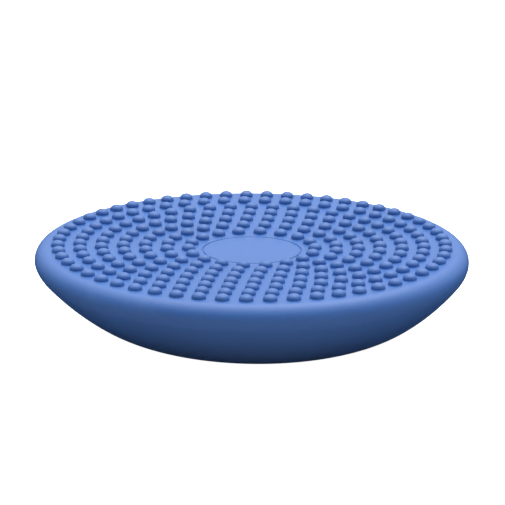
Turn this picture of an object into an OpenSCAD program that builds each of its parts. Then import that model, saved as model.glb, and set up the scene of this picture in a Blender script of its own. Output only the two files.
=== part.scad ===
// Air-filled balance cushion: two soft skins welded at the rim, with a
// plugged needle valve let into the flank of the bottom skin.
// Millimetres, +Z up, origin at the middle of the foot that it rests on.

/* [Disc] */
// Diameter at the widest line of the rim
disc_d = 330; // [320:1:345]
// Thickness of the soft skin
wall = 4; // [3.5:0.1:4.5]
// Radius of the rounded rim
rim_r = 9.9; // [9.5:0.1:10.3]
// Radius of the weld tongue's outer face, measured in from the widest line
tongue_in = 2; // [1.6:0.1:2.4]
// Height of the weld tongue
tongue_h = 3; // [2:0.1:4]

/* [Top face] */
// Fall of the top face from the rim to the middle, in degrees
dish_slope = 2.33; // [2:0.01:3]
// Radius of the level medallion in the middle
medallion_r = 42; // [41:0.5:43]
// Radius of the line engraved round the medallion
line_r = 37.4; // [34:0.1:39]
// Width of the engraved line
line_w = 1.2; // [0.5:0.1:1.5]
// Depth of the engraved line
line_depth = 0.8; // [0.3:0.1:1.2]

/* [Nubs] */
// Radius of one nub
nub_r = 5.2; // [4.6:0.1:5.4]
// Height of a nub's straight side
nub_side = 1; // [0.6:0.1:1.4]
// Radius of the curve from a nub's side to its crown
nub_shoulder = 3.4; // [3:0.1:3.8]
// How far a nub's base is sunk into the face
nub_sink = 0.2; // [0.1:0.1:0.5]
// Number of rings of nubs
nub_rings = 7; // [5:1:7]
// Radius of the inmost ring
ring_first = 48.2; // [47.8:0.1:48.6]
// Distance from one ring to the next
ring_step = 16.5; // [16:0.05:16.6]
// Spacing of the nubs along a ring, rounded to a whole number of nubs
nub_pitch = 16.92; // [15:0.01:19]
// Turn of each ring about the middle, inmost ring first, in degrees
ring_turn = [2.4, 6, 9, 1.2, 4.5, 4.6, 0.2];

/* [Underside] */
// Radius of the shoulder's curve, from the rim to the flank
shoulder_arc = 22; // [20:1:24]
// Radius of the flank's curve
flank_arc = 166; // [162:1:170]
// Radius of the belly's curve, from the flank to the sole
belly_arc = 91; // [88:1:94]
// Radius of the sole's curve, round the foot
sole_arc = 165; // [160:1:170]

/* [Valve] */
// Direction of the valve round the disc, in degrees from +X
valve_turn = 90; // [0:5:355]
// Radius of the valve seat's flange
flange_r = 12.6; // [12:0.1:13]
// Thickness of the flange
flange_t = 1.2; // [1:0.1:1.4]
// Radius of the seat's tube
seat_r = 7.95; // [7.6:0.05:8]
// Radius of the soft core inside the seat
core_r = 4.5; // [4:0.1:5]
// Radius of the needle channel in the core
channel_r = 1.5; // [1.2:0.1:1.8]
// Gap all round the plug's stem in the needle channel
stem_gap = 0.05; // [0.03:0.01:0.1]
// Length of the plug's stem
stem_l = 7.5; // [6:0.5:8]

/* [Hidden] */
$fn = 96;
blue = [0.25, 0.42, 0.75];

// The section of the disc is a chain of arcs, each tangent to the next. A
// direction is an angle below the horizontal, 0 at the widest line and 90 at
// the foot. These are the directions where one arc hands over to the next.
function down(a) = [cos(a), -sin(a)];
rim_to = 20;
shoulder_to = 40;
flank_to = 55;
belly_to = 70;
rim_x = disc_d / 2 - rim_r;
shoulder_low = [rim_x, 0] + (rim_r - shoulder_arc) * down(rim_to);
flank_low = shoulder_low + (shoulder_arc - flank_arc) * down(shoulder_to);
belly_low = flank_low + (flank_arc - belly_arc) * down(flank_to);
sole_low = belly_low + (belly_arc - sole_arc) * down(belly_to);
rim_z = sole_arc - sole_low[1];
rim_c = [rim_x, rim_z];
shoulder_c = shoulder_low + [0, rim_z];
flank_c = flank_low + [0, rim_z];
belly_c = belly_low + [0, rim_z];
sole_c = sole_low + [0, rim_z];
foot_r = sole_c[0];
proud = 0.01;

// Where the dished face runs out of the rim, and the level of the medallion.
face_end = rim_c + rim_r * down(-90 - dish_slope);
medallion_z = face_end[1] - (face_end[0] - medallion_r) * tan(dish_slope);
function face_z(r) = medallion_z + max(0, r - medallion_r) * tan(dish_slope);

// The valve's place, in the middle of the flank's arc, square to the skin.
valve_down = (shoulder_to + flank_to) / 2;
valve_p = flank_c + flank_arc * down(valve_down);
recess_r = flange_r + 0.4;
recess_z = -1.8;
boss_r = 15;
boss_z = -9;
bore_r = 8;
seat_end = -14;
head_r = 5.8;
head_room = 6.5;
core_top = -2.6;

// One tangent arc of the section, as the segment outside its chord.
module bulge(c, r, a, b) {
    intersection() {
        translate(c) circle(r);
        polygon([c + r * down(a), c + (r + 30) * down(a), c + (r + 30) * down(b), c + r * down(b)]);
    }
}

// Section below the widest line, set in by t from the outside of the skin. The
// corners of its polygon stand a hair proud of the arcs, so the chords cut the
// arcs cleanly near each hand-over.
module lower_section(t) {
    p = proud - t;
    polygon([
        [0, t], sole_c + (sole_arc - t) * down(90),
        sole_c + (sole_arc + p) * down(belly_to), belly_c + (belly_arc + p) * down(flank_to),
        flank_c + (flank_arc + p) * down(shoulder_to), rim_c + (rim_r + p) * down(rim_to),
        rim_c + (rim_r - t) * down(0), [0, rim_z]
    ]);
    bulge(sole_c, sole_arc - t, belly_to, 90);
    bulge(belly_c, belly_arc - t, flank_to, belly_to);
    bulge(flank_c, flank_arc - t, shoulder_to, flank_to);
    bulge(shoulder_c, shoulder_arc - t, rim_to, shoulder_to);
    bulge(rim_c, rim_r - t, 0, rim_to);
}

// Section of the dished face, and of the rim above the widest line. The two
// meet where the face runs out of the rim.
module face_section() {
    polygon([
        [0, medallion_z - wall], [0, medallion_z], [medallion_r, medallion_z],
        face_end, face_end - wall * down(-90 - dish_slope),
        [medallion_r, medallion_z - wall]
    ]);
}

module rim_section() {
    intersection() {
        difference() {
            translate(rim_c) circle(rim_r);
            translate(rim_c) circle(rim_r - wall);
        }
        polygon([
            rim_c, rim_c + 20 * down(-90 - dish_slope),
            rim_c + [20, 20], rim_c + [20, 0]
        ]);
    }
}

// One nub: a short straight side, a shoulder and a flatter crown, the two arcs
// tangent to each other 60 degrees up.
module nub() {
    side_c = [nub_r - nub_shoulder, nub_side];
    crown_c = [0, nub_side - side_c[0] * tan(60)];
    crown_arc = nub_shoulder + side_c[0] / cos(60);
    rotate_extrude($fn = 24) {
        polygon([
            [0, 0], [nub_r, 0], [nub_r, nub_side],
            side_c + nub_shoulder * down(-60), crown_c + crown_arc * down(-90)
        ]);
        bulge(side_c, nub_shoulder, -60, 0);
        bulge(crown_c, crown_arc, -90, -60);
    }
}

module at_valve() {
    rotate([0, 0, valve_turn])
        translate([valve_p[0], 0, valve_p[1]])
            rotate([0, 90 + valve_down, 0])
                children();
}

module between(low, high, r) {
    translate([0, 0, low]) cylinder(h = high - low, r = r);
}

// Upper half of the skin, with the line engraved round the medallion. Its edge
// is rebated inside for the weld tongue.
module top_skin() {
    color(blue)
    difference() {
        union() {
            rotate_extrude() face_section();
            rotate_extrude() rim_section();
        }
        rotate_extrude()
            translate([rim_x - 4, rim_z - 1])
                square([rim_r + 4 - tongue_in, tongue_h + 1]);
        translate([0, 0, -1]) cylinder(h = rim_z + 1, r = disc_d);
        rotate_extrude()
            translate([line_r - line_w / 2, medallion_z - line_depth])
                square([line_w, 1]);
    }
}

// The domes moulded on the top face, in rings about the medallion. Each stands
// square to the dished face, with its base sunk a little into the skin.
module grip_nubs() {
    color(blue)
    for (k = [0 : nub_rings - 1]) {
        r = ring_first + k * ring_step;
        n = round(2 * PI * r / nub_pitch);
        for (i = [0 : n - 1])
            rotate([0, 0, ring_turn[k] + i * 360 / n])
                translate([r, 0, face_z(r) - nub_sink])
                    rotate([0, -dish_slope, 0])
                        nub();
    }
}

// Lower half of the skin: foot, belly and flank, the weld tongue that stands
// in the top skin's rebate, and the boss that carries the valve.
module bottom_skin() {
    color(blue)
    difference() {
        union() {
            rotate_extrude() difference() {
                lower_section(0);
                lower_section(wall);
            }
            rotate_extrude()
                translate([disc_d / 2 - tongue_in - 2.2, rim_z - 2])
                    square([2.2, tongue_h + 2]);
            at_valve() between(boss_z, -2.5, boss_r);
        }
        at_valve() between(recess_z, 6, recess_r);
        at_valve() between(boss_z - 2, 6, bore_r);
    }
}

// Flanged tube, bonded into the boss with its flange in the recess.
module valve_seat() {
    color([0.2, 0.36, 0.68])
    at_valve() difference() {
        union() {
            between(recess_z, recess_z + flange_t, flange_r);
            between(seat_end, recess_z, seat_r);
        }
        between(seat_end - 1, 1, core_r);
        between(core_top, 1, head_room);
    }
}

// Soft self-sealing core: a needle channel that ends in a closed lip.
module valve_core() {
    color([0.16, 0.17, 0.19])
    at_valve() difference() {
        union() {
            between(seat_end, core_top, core_r);
            between(seat_end - 1.5, seat_end, core_r + 1.6);
        }
        between(core_top - stem_l - 1, core_top + 1, channel_r);
    }
}

// Stopper: a disc head with a grip bar, and a stem for the needle channel.
module valve_plug() {
    color([0.2, 0.36, 0.68])
    at_valve() {
        difference() {
            union() {
                between(core_top + 0.05, core_top + 1.4, head_r);
                translate([-4.6, -0.8, core_top + 1]) cube([9.2, 1.6, 1.6]);
            }
            translate([0, 0, core_top + 1.4]) rotate_extrude()
                translate([3.9, -0.4]) square([0.8, 0.4]);
        }
        between(core_top - stem_l + 1, core_top + 0.05, channel_r - stem_gap);
        translate([0, 0, core_top - stem_l])
            cylinder(h = 1, r1 = channel_r / 2, r2 = channel_r - stem_gap);
    }
}

top_skin();
grip_nubs();
bottom_skin();
valve_seat();
valve_core();
valve_plug();
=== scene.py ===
import math

import bpy
import numpy as np
from mathutils import Matrix, Vector


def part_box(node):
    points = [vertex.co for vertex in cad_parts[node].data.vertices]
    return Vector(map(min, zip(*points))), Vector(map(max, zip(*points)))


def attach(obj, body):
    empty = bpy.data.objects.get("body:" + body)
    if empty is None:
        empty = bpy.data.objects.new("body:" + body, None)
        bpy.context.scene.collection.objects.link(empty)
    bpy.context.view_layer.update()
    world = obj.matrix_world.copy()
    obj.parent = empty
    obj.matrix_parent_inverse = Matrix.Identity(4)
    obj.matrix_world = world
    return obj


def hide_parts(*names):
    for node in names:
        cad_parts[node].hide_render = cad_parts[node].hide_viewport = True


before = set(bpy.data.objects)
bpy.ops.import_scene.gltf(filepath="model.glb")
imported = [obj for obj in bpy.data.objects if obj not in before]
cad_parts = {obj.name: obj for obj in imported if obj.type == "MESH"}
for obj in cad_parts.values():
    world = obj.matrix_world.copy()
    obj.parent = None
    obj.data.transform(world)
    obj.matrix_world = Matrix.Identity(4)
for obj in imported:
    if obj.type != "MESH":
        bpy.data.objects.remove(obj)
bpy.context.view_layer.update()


MM = 0.001

# --- sizes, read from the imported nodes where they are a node's own box -------------------------
top_lo, top_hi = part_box("top_skin")
bot_lo, bot_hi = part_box("bottom_skin")
R_OUT = top_hi.x                      # widest line
RIM_Z = top_lo.z                      # level of the widest line
WALL = 4 * MM
RIM_R = 9.9 * MM
SHOULDER_R = 22 * MM
FLANK_R = 166 * MM
BELLY_R = 91 * MM
SOLE_R = 165 * MM
RIM_X = R_OUT - RIM_R
SLOPE = math.radians(2.33)
MED_R = 42 * MM
LINE_R = 37.4 * MM
FACE_END = (RIM_X - RIM_R * math.sin(SLOPE), RIM_Z + RIM_R * math.cos(SLOPE))
MED_Z = FACE_END[1] - (FACE_END[0] - MED_R) * math.tan(SLOPE)

# nubs: one count and one turn a ring, as in the CAD model
RING_FIRST, RING_STEP, PITCH = 48.2 * MM, 16.5 * MM, 16.92 * MM
RING_TURN = [2.4, 6.0, 9.0, 1.2, 4.5, 4.6, 0.2]
RINGS = [RING_FIRST + k * RING_STEP for k in range(7)]
COUNTS = [round(2 * math.pi * r / PITCH) for r in RINGS]
NUB_R = 5.2 * MM
NUB_SIDE = 1.0 * MM
NUB_SHOULDER = 3.4 * MM
NUB_SINK = 0.2 * MM
FILLET = 0.35 * MM


# --- mesh helpers ------------------------------------------------------------------------------
class Builder:
    """Collects points and faces; points closer than a micron are one."""

    def __init__(self):
        self.co, self.faces, self.n = [], [], 0

    def add(self, pts):
        pts = np.asarray(pts, float).reshape(-1, 3)
        self.co.append(pts)
        i = self.n
        self.n += len(pts)
        return np.arange(i, i + len(pts))

    def quads(self, a, b, close=True):
        """Faces between two rows of point numbers of one length."""
        m = len(a)
        for i in range(m if close else m - 1):
            j = (i + 1) % m
            self.faces.append((a[i], a[j], b[j], b[i]))

    def zip(self, a, ang_a, b, ang_b, flip=False):
        """Faces between two closed rows of different lengths, both in order of their angles."""
        na, nb = len(a), len(b)
        ia = ib = 0
        k0 = int(np.argmin(np.abs((np.asarray(ang_b) - ang_a[0] + np.pi) % (2 * np.pi) - np.pi)))
        ub = [(ang_b[(k0 + t) % nb] - ang_b[k0]) % (2 * np.pi) for t in range(nb)] + [2 * np.pi]
        ua = [(ang_a[t] - ang_a[0]) % (2 * np.pi) for t in range(na)] + [2 * np.pi]
        off = (ang_b[k0] - ang_a[0] + np.pi) % (2 * np.pi) - np.pi
        ub = [u + off for u in ub]
        while ia < na or ib < nb:
            step_a = ib >= nb or (ia < na and ua[ia + 1] <= ub[ib + 1])
            if step_a:
                f = (a[ia % na], a[(ia + 1) % na], b[(k0 + ib) % nb])
                ia += 1
            else:
                f = (a[ia % na], b[(k0 + ib + 1) % nb], b[(k0 + ib) % nb])
                ib += 1
            self.faces.append(f[::-1] if flip else f)

    def mesh(self, name, tol=2e-6):
        co = np.concatenate(self.co)
        key = np.round(co / tol).astype(np.int64)
        _, first, inv = np.unique(key, axis=0, return_index=True, return_inverse=True)
        inv = inv.reshape(-1)
        faces = []
        for f in self.faces:
            g = []
            for i in f:
                v = int(inv[i])
                if v not in g:
                    g.append(v)
            if len(g) >= 3:
                faces.append(g)
        me = bpy.data.meshes.new(name)
        me.from_pydata([tuple(c) for c in co[first]], [], faces)
        me.update()
        return me


def finish_object(name, me, mat, body, replaces=()):
    import bmesh
    bm = bmesh.new()
    bm.from_mesh(me)
    bmesh.ops.recalc_face_normals(bm, faces=bm.faces)
    bm.to_mesh(me)
    bm.free()
    for p in me.polygons:
        p.use_smooth = True
    me.set_sharp_from_angle(angle=math.radians(55))     # the weld's square corner stays out of the rim's shading
    ob = bpy.data.objects.new(name, me)
    bpy.context.scene.collection.objects.link(ob)
    me.materials.append(mat)
    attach(ob, body)
    if replaces:
        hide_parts(*replaces)
    return ob


# --- materials ---------------------------------------------------------------------------------
def node_mat(name):
    m = bpy.data.materials.new(name)
    m.use_nodes = True
    nt = m.node_tree
    nt.nodes.clear()
    out = nt.nodes.new("ShaderNodeOutputMaterial")
    bsdf = nt.nodes.new("ShaderNodeBsdfPrincipled")
    nt.links.new(bsdf.outputs["BSDF"], out.inputs["Surface"])
    return m, nt, bsdf


def noise(nt, scale, detail=4.0, rough=0.5, src=None, dist=0.0):
    n = nt.nodes.new("ShaderNodeTexNoise")
    n.inputs["Scale"].default_value = scale
    n.inputs["Detail"].default_value = detail
    n.inputs["Roughness"].default_value = rough
    n.inputs["Distortion"].default_value = dist
    if src is not None:
        nt.links.new(src, n.inputs["Vector"])
    return n


def ramp(nt, src, stops):
    r = nt.nodes.new("ShaderNodeValToRGB")
    el = r.color_ramp.elements
    el[0].position, el[0].color = stops[0]
    el[1].position, el[1].color = stops[-1]
    for p, c in stops[1:-1]:
        e = el.new(p)
        e.color = c
    nt.links.new(src, r.inputs["Fac"])
    return r


def math_node(nt, op, a, b=None, clamp=False):
    n = nt.nodes.new("ShaderNodeMath")
    n.operation = op
    n.use_clamp = clamp
    for i, v in enumerate((a, b)):
        if v is None:
            continue
        if isinstance(v, (int, float)):
            n.inputs[i].default_value = v
        else:
            nt.links.new(v, n.inputs[i])
    return n.outputs[0]


def skin_material(name="soft_pvc_blue", base=(0.034, 0.124, 0.395)):
    m, nt, bsdf = node_mat(name)
    tc = nt.nodes.new("ShaderNodeTexCoord")
    pos = tc.outputs["Object"]
    # colour: slow mottling of the pigment, and fine specks
    n1 = noise(nt, 14.0, 3.0, 0.5, pos)
    n2 = noise(nt, 260.0, 5.0, 0.6, pos)
    mix = math_node(nt, "ADD", math_node(nt, "MULTIPLY", n1.outputs["Fac"], 0.6), math_node(nt, "MULTIPLY", n2.outputs["Fac"], 0.4))
    r, g, b = base
    col = ramp(nt, mix, [
        (0.30, (r * 0.90, g * 0.92, b * 0.93, 1)),
        (0.50, (r, g, b, 1)),
        (0.70, (r * 1.10, g * 1.07, b * 1.05, 1)),
    ])
    # slight scuffing on the parts that rub: a paler, greyer film in small patches
    n3 = noise(nt, 38.0, 8.0, 0.62, pos, 0.4)
    scuff = ramp(nt, n3.outputs["Fac"], [(0.60, (0, 0, 0, 1)), (0.82, (1, 1, 1, 1))])
    mixc = nt.nodes.new("ShaderNodeMix")
    mixc.data_type = "RGBA"
    nt.links.new(math_node(nt, "MULTIPLY", scuff.outputs["Color"], 0.11), mixc.inputs[0])
    nt.links.new(col.outputs["Color"], mixc.inputs[6])
    mixc.inputs[7].default_value = (0.22, 0.30, 0.52, 1)
    nt.links.new(mixc.outputs[2], bsdf.inputs["Base Color"])
    # roughness: satin, varying a little with the mottling and up in the scuffs
    rr = math_node(nt, "ADD", math_node(nt, "MULTIPLY", n1.outputs["Fac"], 0.10), 0.40)
    rr = math_node(nt, "ADD", rr, math_node(nt, "MULTIPLY", scuff.outputs["Color"], 0.12))
    nt.links.new(rr, bsdf.inputs["Roughness"])
    # bump: the mould's fine grain, and a slight orange peel
    g1 = noise(nt, 900.0, 3.0, 0.5, pos)
    g2 = noise(nt, 120.0, 2.0, 0.5, pos)
    b1 = nt.nodes.new("ShaderNodeBump")
    b1.inputs["Strength"].default_value = 0.25
    b1.inputs["Distance"].default_value = 0.00006
    nt.links.new(g1.outputs["Fac"], b1.inputs["Height"])
    b2 = nt.nodes.new("ShaderNodeBump")
    b2.inputs["Strength"].default_value = 0.30
    b2.inputs["Distance"].default_value = 0.00025
    nt.links.new(g2.outputs["Fac"], b2.inputs["Height"])
    nt.links.new(b1.outputs["Normal"], b2.inputs["Normal"])
    nt.links.new(b2.outputs["Normal"], bsdf.inputs["Normal"])
    bsdf.inputs["IOR"].default_value = 1.5
    bsdf.inputs["Specular IOR Level"].default_value = 0.5
    bsdf.inputs["Sheen Weight"].default_value = 0.0
    return m


def plain_material(name, base, rough, grain=700.0, bump=0.00005):
    m, nt, bsdf = node_mat(name)
    tc = nt.nodes.new("ShaderNodeTexCoord")
    pos = tc.outputs["Object"]
    n1 = noise(nt, 60.0, 4.0, 0.55, pos)
    r, g, b = base
    col = ramp(nt, n1.outputs["Fac"], [(0.3, (r * 0.88, g * 0.88, b * 0.9, 1)), (0.7, (r * 1.12, g * 1.1, b * 1.08, 1))])
    nt.links.new(col.outputs["Color"], bsdf.inputs["Base Color"])
    nt.links.new(math_node(nt, "ADD", math_node(nt, "MULTIPLY", n1.outputs["Fac"], 0.14), rough - 0.07), bsdf.inputs["Roughness"])
    g1 = noise(nt, grain, 4.0, 0.55, pos)
    bp = nt.nodes.new("ShaderNodeBump")
    bp.inputs["Strength"].default_value = 0.4
    bp.inputs["Distance"].default_value = bump
    nt.links.new(g1.outputs["Fac"], bp.inputs["Height"])
    nt.links.new(bp.outputs["Normal"], bsdf.inputs["Normal"])
    return m


# --- the top skin ------------------------------------------------------------------------------
def face_z(r):
    """Height of the dished face between the nubs."""
    r = np.asarray(r, float)
    w = 6 * MM                          # the bend at the medallion's edge is eased over this width
    t = np.clip((r - (MED_R - w)) / (2 * w), 0, 1)
    cone = np.where(r < MED_R - w, 0.0, np.where(r > MED_R + w, r - MED_R, w * t * t))
    return MED_Z + np.maximum(cone, 0) * math.tan(SLOPE)


def polar(r, a, z):
    r, a, z = np.broadcast_arrays(np.asarray(r, float), np.asarray(a, float), np.asarray(z, float))
    return np.stack([r * np.cos(a), r * np.sin(a), z], -1).reshape(-1, 3)


def build_top():
    B = Builder()
    SIDE = 8                            # points along each side of a nub's cell
    half = RING_STEP / 2
    gap = 0.5 * MM                      # strip between two rings of cells, where their points don't match
    prev = None                         # (indices, angles) of the outermost closed row so far
    # middle: medallion with its engraved line, as rings from the centre out
    M = COUNTS[0] * SIDE
    ang = np.arange(M) * 2 * math.pi / M
    line_w = 1.2 * MM
    radii = [(0.8, 0), (2.5, 0), (5, 0), (8, 0), (11, 0), (14, 0), (17, 0), (20, 0), (23, 0), (26, 0), (29, 0), (32, 0), (34.5, 0), (36, 0)]
    lr, lw = LINE_R / MM, line_w / MM
    radii += [(lr - lw / 2 - 0.45, 0), (lr - lw / 2 - 0.2, -0.02), (lr - lw / 2, -0.12), (lr - lw / 2 + 0.08, -0.45), (lr - lw / 2 + 0.2, -0.74), (lr, -0.8),
              (lr + lw / 2 - 0.2, -0.74), (lr + lw / 2 - 0.08, -0.45), (lr + lw / 2, -0.12), (lr + lw / 2 + 0.2, -0.02), (lr + lw / 2 + 0.45, 0)]
    c = B.add([[0, 0, float(face_z(0))]])
    rows = []
    for r, dz in radii:
        rows.append(B.add(polar(r * MM, ang, face_z(r * MM) + dz * MM)))
    for i in range(M):
        B.faces.append((c[0], rows[0][i], rows[0][(i + 1) % M]))
    for a, b in zip(rows, rows[1:]):
        B.quads(a, b)
    prev = (rows[-1], ang)
    # rings of cells
    for k, R in enumerate(RINGS):
        n = COUNTS[k]
        turn = math.radians(RING_TURN[k])
        lo, hi = R - half + gap / 2, R + half - gap / 2
        if k == len(RINGS) - 1:
            hi = R + 7.1 * MM
        if k == 0:
            lo = R - half + gap / 2
        da = math.pi / n
        fillet_rho, prof = nub_profile()
        inner_idx, inner_ang, outer_idx, outer_ang = [], [], [], []
        for i in range(n):
            a0 = turn + i * 2 * da
            # cell boundary, anticlockwise from the inner side's clockwise corner
            t = np.arange(SIDE) / SIDE
            al = a0 - da
            ah = a0 + da
            bnd_r = np.concatenate([np.full(SIDE, lo), lo + (hi - lo) * t, np.full(SIDE, hi), hi + (lo - hi) * t])
            bnd_a = np.concatenate([ah + (al - ah) * t, np.full(SIDE, al), al + (ah - al) * t, np.full(SIDE, ah)])
            P = polar(bnd_r, bnd_a, face_z(bnd_r))
            idx_b = B.add(P)
            m = 4 * SIDE
            # local frame of the nub: u outwards, v round, w square to the face
            u = np.array([math.cos(a0) * math.cos(SLOPE), math.sin(a0) * math.cos(SLOPE), math.sin(SLOPE)])
            v = np.array([-math.sin(a0), math.cos(a0), 0])
            w = np.cross(u, v)
            C = np.array([R * math.cos(a0), R * math.sin(a0), float(face_z(R))])
            # directions of the boundary points in the local frame
            d = P - C
            phi = np.arctan2(d @ v, d @ u)
            # spread the directions evenly towards the nub, so its rows are round
            ph0 = np.unwrap(phi)
            even = ph0[0] + np.arange(m) * (np.sign(ph0[-1] - ph0[0]) * 2 * math.pi / m)
            even += np.mean(ph0 - even)
            ring_pts = lambda rho, h, mixf: (C + rho * (np.cos(ph0 * (1 - mixf) + even * mixf)[:, None] * u + np.sin(ph0 * (1 - mixf) + even * mixf)[:, None] * v) + h * w)
            # one easing row between the boundary and the fillet
            base_ring = ring_pts(fillet_rho, 0.0, 1.0)
            br = np.hypot(base_ring[:, 0], base_ring[:, 1])
            base_ring[:, 2] = face_z(br)
            midr = 0.5 * P + 0.5 * base_ring
            midr[:, 2] = face_z(np.hypot(midr[:, 0], midr[:, 1]))
            i_mid = B.add(midr)
            i_base = B.add(base_ring)
            B.quads(idx_b, i_mid)
            B.quads(i_mid, i_base)
            last = i_base
            for rho, h in prof:
                cur = B.add(ring_pts(rho, h, 1.0))
                B.quads(last, cur)
                last = cur
            pole = B.add([C + w * NUB_TOP])
            for j in range(m):
                B.faces.append((last[j], last[(j + 1) % m], pole[0]))
            # rows on the inner and outer sides, in order of angle
            inner_idx += [idx_b[(SIDE - s) % m] if s else idx_b[SIDE] for s in range(SIDE)]
            inner_ang += [al + (ah - al) * s / SIDE for s in range(SIDE)]
            outer_idx += [idx_b[2 * SIDE + s] for s in range(SIDE)]
            outer_ang += [al + (ah - al) * s / SIDE for s in range(SIDE)]
        B.zip(list(prev[0]), list(prev[1]), inner_idx, inner_ang)
        prev = (outer_idx, np.array(outer_ang))
    # rim: rings down to the widest line
    hi = RINGS[-1] + 7.1 * MM
    M2 = 480
    ang2 = np.arange(M2) * 2 * math.pi / M2
    a_list = [0.2, 4, 8, 13, 18, 24, 30, 36, 42, 48, 54, 60, 66, 72, 77, 82, 86, 89, 90]
    rim_rows = []
    for a in a_list:
        t = math.radians(a)
        rim_rows.append(B.add(polar(RIM_X + RIM_R * math.sin(t), ang2, RIM_Z + RIM_R * math.cos(t))))
    B.zip(list(prev[0]), list(prev[1]), list(rim_rows[0]), list(ang2))
    for a, b in zip(rim_rows, rim_rows[1:]):
        B.quads(a, b)
    # edge at the widest line, then the inside of the skin back to the centre
    ins = [(R_OUT - 0.6 * MM, RIM_Z), (R_OUT - WALL, RIM_Z)]
    for a in (80, 65, 50, 35, 20, 5):
        t = math.radians(a)
        ins.append((RIM_X + (RIM_R - WALL) * math.sin(t), RIM_Z + (RIM_R - WALL) * math.cos(t)))
    for r in (148, 130, 110, 90, 70, 55, 48):
        ins.append((r * MM, float(face_z(r * MM)) - WALL))
    for r in (42, 36, 24, 12, 4):
        ins.append((r * MM, float(face_z(r * MM)) - WALL))
    rows = [B.add(polar(r, ang2, z)) for r, z in ins]
    B.quads(rim_rows[-1], rows[0])
    for a, b in zip(rows, rows[1:]):
        B.quads(a, b)
    c = B.add([[0, 0, MED_Z - WALL]])
    for i in range(M2):
        B.faces.append((c[0], rows[-1][i], rows[-1][(i + 1) % M2]))
    return B


# crown: an arc centred on the nub's axis, tangent to the shoulder 60 degrees up
CROWN_Z = NUB_SIDE - (NUB_R - NUB_SHOULDER) * math.tan(math.radians(60))
CROWN_R = NUB_SHOULDER + (NUB_R - NUB_SHOULDER) / math.cos(math.radians(60))
NUB_TOP = CROWN_Z + CROWN_R - NUB_SINK


def nub_profile():
    """Radius of the fillet's outer edge, then (radius, height) rows from there up to near the pole."""
    f = FILLET
    prof = []
    for t in (22, 45, 68, 90):           # fillet, from the face round to the straight side
        a = math.radians(-90 - t)
        prof.append((NUB_R + f + f * math.cos(a), f + f * math.sin(a)))
    for a in (0, 12, 24, 36, 48):        # shoulder
        a = math.radians(a)
        prof.append((NUB_R - NUB_SHOULDER + NUB_SHOULDER * math.cos(a), NUB_SIDE - NUB_SINK + NUB_SHOULDER * math.sin(a)))
    for a in (60, 66, 72, 78, 84, 87.5):  # crown
        a = math.radians(a)
        prof.append((CROWN_R * math.cos(a), CROWN_Z - NUB_SINK + CROWN_R * math.sin(a)))
    return NUB_R + f, prof


# --- the bottom skin ---------------------------------------------------------------------------
def down(a):
    a = math.radians(a)
    return np.array([math.cos(a), -math.sin(a)])


RIM_C = np.array([RIM_X, RIM_Z])
SHOULDER_C = RIM_C + (RIM_R - SHOULDER_R) * down(20)
FLANK_C = SHOULDER_C + (SHOULDER_R - FLANK_R) * down(40)
BELLY_C = FLANK_C + (FLANK_R - BELLY_R) * down(55)
SOLE_C = BELLY_C + (BELLY_R - SOLE_R) * down(70)


def lower_profile(t=0.0):
    """Section below the widest line, set in by t, from there to the foot: five arcs, each tangent to the next."""
    pts = []
    for c, r, a0, a1, n in ((RIM_C, RIM_R, 0, 20, 4), (SHOULDER_C, SHOULDER_R, 20, 40, 6), (FLANK_C, FLANK_R, 40, 55, 12), (BELLY_C, BELLY_R, 55, 70, 8), (SOLE_C, SOLE_R, 70, 90, 12)):
        for a in np.linspace(a0, a1, n + 1)[:-1]:
            pts.append(c + (r - t) * down(a))
    pts.append(SOLE_C + (SOLE_R - t) * down(90))
    return pts


# direction and place of the valve, from the CAD model's numbers and the joint's axis
VALVE_P2 = FLANK_C + FLANK_R * down(47.5)
VALVE_O = np.array([0, VALVE_P2[0], VALVE_P2[1]])
VALVE_W = np.array([0, *down(47.5)])                        # out of the skin
VALVE_U = np.array([1.0, 0, 0])
VALVE_V = np.cross(VALVE_W, VALVE_U)


def on_bowl(rho, th, t=0.0):
    """Point of the flank (set in by t) that lies at (rho, th) in the valve's own plane."""
    p = VALVE_O + rho * (math.cos(th) * VALVE_U + math.sin(th) * VALVE_V)
    # solve for the height h along W that lies on the torus of the flank
    h = -t
    for _ in range(30):
        q = p + h * VALVE_W
        r = math.hypot(q[0], q[1])
        d = math.hypot(r - FLANK_C[0], q[2] - FLANK_C[1]) - (FLANK_R - t)
        h -= d
        if abs(d) < 1e-9:
            break
    return p + h * VALVE_W


LEAN = 0.065                            # sideways shift of the bowl for each unit below the widest line


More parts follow.
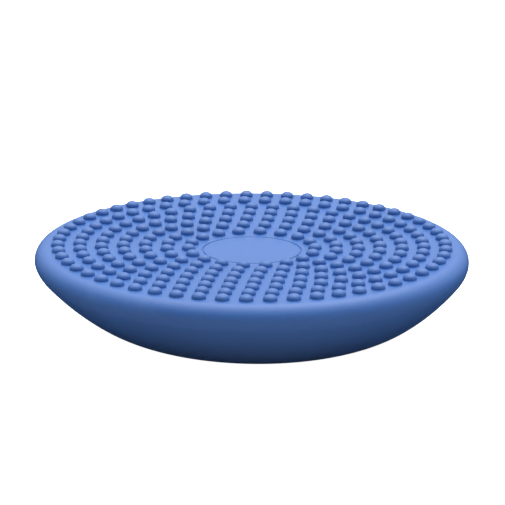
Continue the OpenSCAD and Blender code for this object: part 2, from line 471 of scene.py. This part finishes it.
def build_bottom():
    B = Builder()
    M = 480
    ang = np.arange(M) * 2 * math.pi / M
    outer = lower_profile(0.0)
    inner = lower_profile(WALL)
    # which columns and rows the window round the valve takes
    half_cols = 13
    mid = M // 4

    def lathe(prof, hole_rho, t):
        rows = [B.add(polar(p[0], ang, p[1])) for p in prof]
        zs = [p[1] for p in prof]
        rs = [p[0] for p in prof]
        # rows that lie within the window
        lo = hi = None
        for i, (r, z) in enumerate(zip(rs, zs)):
            s = (r - VALVE_O[1]) * VALVE_V[1] + (z - VALVE_O[2]) * VALVE_V[2]
            if abs(s) < hole_rho + 3 * MM:
                lo = i if lo is None else lo
                hi = i
        lo, hi = lo - 1, hi + 1
        c0, c1 = mid - half_cols, mid + half_cols
        for i in range(len(rows) - 1):
            for j in range(M):
                if lo <= i < hi and c0 <= j < c1:
                    continue
                jj = (j + 1) % M
                B.faces.append((rows[i][j], rows[i][jj], rows[i + 1][jj], rows[i + 1][j]))
        # boundary of the window, in order of the angle about the valve
        bnd = [(lo, j) for j in range(c0, c1)] + [(i, c1) for i in range(lo, hi)] + [(hi, j) for j in range(c1, c0, -1)] + [(i, c0) for i in range(hi, lo, -1)]
        idx = [rows[i][j] for i, j in bnd]
        P = np.array([polar(rs[i], ang[j], zs[i])[0] for i, j in bnd])
        d = P - VALVE_O
        phi = np.unwrap(np.arctan2(d @ VALVE_V, d @ VALVE_U))
        if phi[-1] < phi[0]:
            idx, phi, P = idx[::-1], phi[::-1], P[::-1]
        return rows, idx, phi, P

    HS = 96
    th = np.arange(HS) * 2 * math.pi / HS

    def eased(idx, phi, P, rho0, t):
        """Rows from the window's boundary down to a circle of rho0 on the bowl."""
        k = len(idx)
        circ = np.array([on_bowl(rho0, p, t) for p in phi])
        last = idx
        for f in (0.35, 0.7):
            pts = []
            for i in range(k):
                d = P[i] - VALVE_O
                rb = math.hypot(d @ VALVE_U, d @ VALVE_V)
                pts.append(on_bowl(rb + (rho0 - rb) * f, phi[i], t))
            cur = B.add(pts)
            B.quads(last, cur)
            last = cur
        return last, phi

    rows_o, idx, phi, P = lathe(outer, 14.6 * MM, 0.0)
    last, phi = eased(idx, phi, P, 14.9 * MM, 0.0)

    def circle(rho, h=None, t=0.0, drop=0.0):
        if h is None:
            pts = [on_bowl(rho, a, t) - drop * VALVE_W for a in th]
        else:
            pts = [VALVE_O + rho * (math.cos(a) * VALVE_U + math.sin(a) * VALVE_V) + h * VALVE_W for a in th]
        return B.add(pts)

    first = circle(14.9 * MM)
    B.zip(list(last), list(phi), list(first), list(th))
    chain = [first, circle(14.0 * MM), circle(13.6 * MM, drop=0.05 * MM), circle(13.25 * MM, drop=0.2 * MM), circle(13.05 * MM, drop=0.5 * MM)]
    for rho, h in ((13.0, -1.55), (12.95, -1.72), (12.8, -1.8), (10.5, -1.8), (8.4, -1.8), (8.1, -1.9), (8.0, -2.1), (8.0, -5.0), (8.0, -8.6), (8.2, -8.95), (8.6, -9.0),
                   (11.5, -9.0), (14.4, -9.0), (14.8, -8.85), (15.0, -8.4)):
        chain.append(circle(rho * MM, h * MM))
    for rho, dr in ((15.0, 1.5), (15.15, 0.7), (15.6, 0.2), (16.3, 0.0)):
        chain.append(circle(rho * MM, t=WALL, drop=dr * MM))
    for a, b in zip(chain, chain[1:]):
        B.quads(a, b)
    rows_i, idx2, phi2, P2 = lathe(inner, 16.3 * MM, WALL)
    last2, phi2 = eased(idx2, phi2, P2, 16.6 * MM, WALL)
    B.zip(list(last2), list(phi2), list(chain[-1]), list(th))
    # foot: middle of the outside and of the inside
    for rows, z in ((rows_o, 0.0), (rows_i, WALL)):
        last = rows[-1]
        for r in (42, 30, 18, 8):
            cur = B.add(polar(r * MM, ang, z))
            B.quads(last, cur)
            last = cur
        c = B.add([[0, 0, z]])
        for j in range(M):
            B.faces.append((c[0], last[j], last[(j + 1) % M]))
    # weld face at the widest line: outer edge, tongue, inside
    tong = [(R_OUT - 0.6 * MM, RIM_Z), (R_OUT - 2.0 * MM, RIM_Z), (R_OUT - 2.0 * MM, RIM_Z + 3 * MM), (R_OUT - 4.2 * MM, RIM_Z + 3 * MM), (R_OUT - 4.2 * MM, RIM_Z - 0.5 * MM)]
    rws = [B.add(polar(r, ang, z)) for r, z in tong]
    B.quads(rows_o[0], rws[0])
    for a, b in zip(rws, rws[1:]):
        B.quads(a, b)
    B.quads(rws[-1], rows_i[0])
    # the real bowl hangs a little to the right; the valve's side at the back stays put
    for co in B.co:
        w = np.clip((0.06 - co[:, 1]) / 0.12, 0, 1)
        w = w * w * (3 - 2 * w)
        co[:, 0] += LEAN * w * np.clip(RIM_Z - co[:, 2], 0, None)
    return B


skin = skin_material()
valve_mat = plain_material("valve_blue", (0.06, 0.13, 0.40), 0.38)
core_mat = plain_material("core_rubber", (0.022, 0.023, 0.026), 0.62, grain=900.0)

top_me = build_top().mesh("top_skin_shell")
top = finish_object("top_skin_shell", top_me, skin, "cushion", ("top_skin", "grip_nubs"))
bot_me = build_bottom().mesh("bottom_skin_shell")
bot = finish_object("bottom_skin_shell", bot_me, skin, "cushion", ("bottom_skin",))


def give(node, mat):
    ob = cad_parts[node]
    ob.data.materials.clear()
    ob.data.materials.append(mat)


give("valve_seat", valve_mat)
give("valve_core", core_mat)
give("valve_plug", valve_mat)

# --- floor, light, camera ----------------------------------------------------------------------
scene = bpy.context.scene
scene.view_settings.view_transform = "Standard"
scene.view_settings.look = "None"

BOUNCE = 0.80
fm, fnt, fb = node_mat("floor_pale")
ftc = fnt.nodes.new("ShaderNodeTexCoord")
fn = noise(fnt, 3.0, 3.0, 0.5, ftc.outputs["Object"])
fc = ramp(fnt, fn.outputs["Fac"], [(0.3, (0.93, 0.93, 0.93, 1)), (0.7, (0.95, 0.95, 0.95, 1))])
fnt.links.new(fc.outputs["Color"], fb.inputs["Base Color"])
fb.inputs["Roughness"].default_value = 0.9
fb.inputs["Specular IOR Level"].default_value = 0.1
fb.inputs["Emission Color"].default_value = (1, 1, 1, 1)
fb.inputs["Emission Strength"].default_value = 1.0
fme = bpy.data.meshes.new("floor")
S = 30.0
fme.from_pydata([(-S, -S, 0), (S, -S, 0), (S, S, 0), (-S, S, 0)], [], [(0, 1, 2, 3)])
fme.materials.append(fm)
floor = bpy.data.objects.new("floor", fme)
scene.collection.objects.link(floor)
floor.visible_diffuse = False           # the seen floor is evenly pale and throws no light of its own
floor.visible_glossy = False

# a grey table just under it bounces the studio's light up onto the bowl; its colour carries a painted contact
# shadow, near black under the cushion and pale beyond it
painted_shadow_table_mat, bnt, bb = node_mat("bounce_grey_painted_shadow")
btc = bnt.nodes.new("ShaderNodeTexCoord")
painted_shadow_radius = bnt.nodes.new("ShaderNodeVectorMath")
painted_shadow_radius.operation = "LENGTH"
bnt.links.new(btc.outputs["Object"], painted_shadow_radius.inputs[0])
# painted contact shadow: the table's grey runs from near black within 0.1 m of the middle up to the full BOUNCE
# level at 0.33 m
painted_shadow_ramp = ramp(bnt, painted_shadow_radius.outputs["Value"], [(r, (BOUNCE * k,) * 3 + (1,)) for r, k in ((0.10, 0.01), (0.165, 0.09), (0.23, 0.72), (0.33, 1.0))])
bnt.links.new(painted_shadow_ramp.outputs["Color"], bb.inputs["Base Color"])
bb.inputs["Roughness"].default_value = 1.0
bb.inputs["Specular IOR Level"].default_value = 0.0
bme = bpy.data.meshes.new("bounce")
bme.from_pydata([(-S, -S, -0.001), (S, -S, -0.001), (S, S, -0.001), (-S, S, -0.001)], [], [(0, 1, 2, 3)])
bme.materials.append(painted_shadow_table_mat)
bounce = bpy.data.objects.new("bounce", bme)
scene.collection.objects.link(bounce)
bounce.visible_camera = False
bounce.visible_glossy = False

world = bpy.data.worlds.new("studio")
scene.world = world
world.use_nodes = True
wnt = world.node_tree
bg = wnt.nodes.get("Background") or wnt.nodes.new("ShaderNodeBackground")
wtc = wnt.nodes.new("ShaderNodeTexCoord")
wsep = wnt.nodes.new("ShaderNodeSeparateXYZ")
wnt.links.new(wtc.outputs["Generated"], wsep.inputs[0])
wfac = math_node(wnt, "ADD", math_node(wnt, "MULTIPLY", wsep.outputs["Z"], 0.5), 0.5)
# above the horizon: a soft bright zenith, the back brighter than the front and the right a little brighter than the left
WORLD_UP = [(0.499, 0.0), (0.5, 0.24), (0.6, 0.38), (0.7, 0.58), (0.82, 1.20), (0.92, 2.2), (1.0, 3.3)]
TILT_Y, TILT_X = 0.75, 0.20
# below it, seen only in reflections: a pale table under the front, dark towards the back
WORLD_LOW = [(0.0, 0.42), (0.12, 0.32), (0.25, 0.09), (0.38, 0.02), (0.5, 0.0)]


def sky(stops, background, strength):
    r = ramp(wnt, wfac, [(p, (v / 3, v / 3, v / 3, 1)) for p, v in stops])
    wnt.links.new(r.outputs["Color"], background.inputs["Color"])
    wnt.links.new(math_node(wnt, "MULTIPLY", strength, 3.0), background.inputs["Strength"])


tilt_up = math_node(wnt, "ADD", math_node(wnt, "MULTIPLY", wsep.outputs["Y"], TILT_Y), 1.0)
tilt_up = math_node(wnt, "ADD", math_node(wnt, "MULTIPLY", wsep.outputs["X"], TILT_X), tilt_up)
tilt_low = math_node(wnt, "SUBTRACT", 1.0, math_node(wnt, "MULTIPLY", wsep.outputs["Y"], 1.6))
tilt_low = math_node(wnt, "MAXIMUM", tilt_low, 0.0)
bg_low = wnt.nodes.new("ShaderNodeBackground")
sky(WORLD_UP, bg, tilt_up)
sky(WORLD_LOW, bg_low, tilt_low)
wadd = wnt.nodes.new("ShaderNodeAddShader")
wnt.links.new(bg.outputs[0], wadd.inputs[0])
wnt.links.new(bg_low.outputs[0], wadd.inputs[1])
wout = next(n for n in wnt.nodes if n.type == "OUTPUT_WORLD")
wnt.links.new(wadd.outputs[0], wout.inputs["Surface"])


def area(name, loc, target, size, power, color=(1, 1, 1)):
    ld = bpy.data.lights.new(name, "AREA")
    ld.shape = "DISK"
    ld.size = size
    ld.energy = power
    ld.color = color
    ob = bpy.data.objects.new(name, ld)
    ob.location = loc
    d = Vector(target) - Vector(loc)
    ob.rotation_euler = d.to_track_quat("-Z", "Y").to_euler()
    scene.collection.objects.link(ob)
    return ob


area("top_soft", (0.30, 0.45, 1.5), (0, 0, 0.05), 0.9, 3.6)

E = math.radians(15.8)
DIST = 1.75
SCALE = 1313.0                          # pixels a metre at the medallion, in a 505-pixel frame
TARGET = Vector((0, 0, MED_Z))
cam_d = bpy.data.cameras.new("camera")
cam_d.sensor_width = 36
cam_d.lens = SCALE * DIST / 505 * 36
cam_d.clip_start = 0.05
cam_d.clip_end = 100
cam = bpy.data.objects.new("camera", cam_d)
scene.collection.objects.link(cam)
back = Vector((0, -math.cos(E), math.sin(E)))
right = Vector((1, 0, 0))
up = Vector((0, math.sin(E), math.cos(E)))
CX, CY, ROLL = 251.8, 249.7, math.radians(0.37)
# the medallion's middle comes out at (CX, CY)
off = right * ((252.5 - CX) / SCALE) + up * (-(252.5 - CY) / SCALE)
cam.location = TARGET + back * DIST + off
rot = Matrix((right, up, back)).transposed()
roll = Matrix.Rotation(ROLL, 3, "Z")
cam.rotation_euler = (rot @ roll).to_euler()
scene.camera = cam
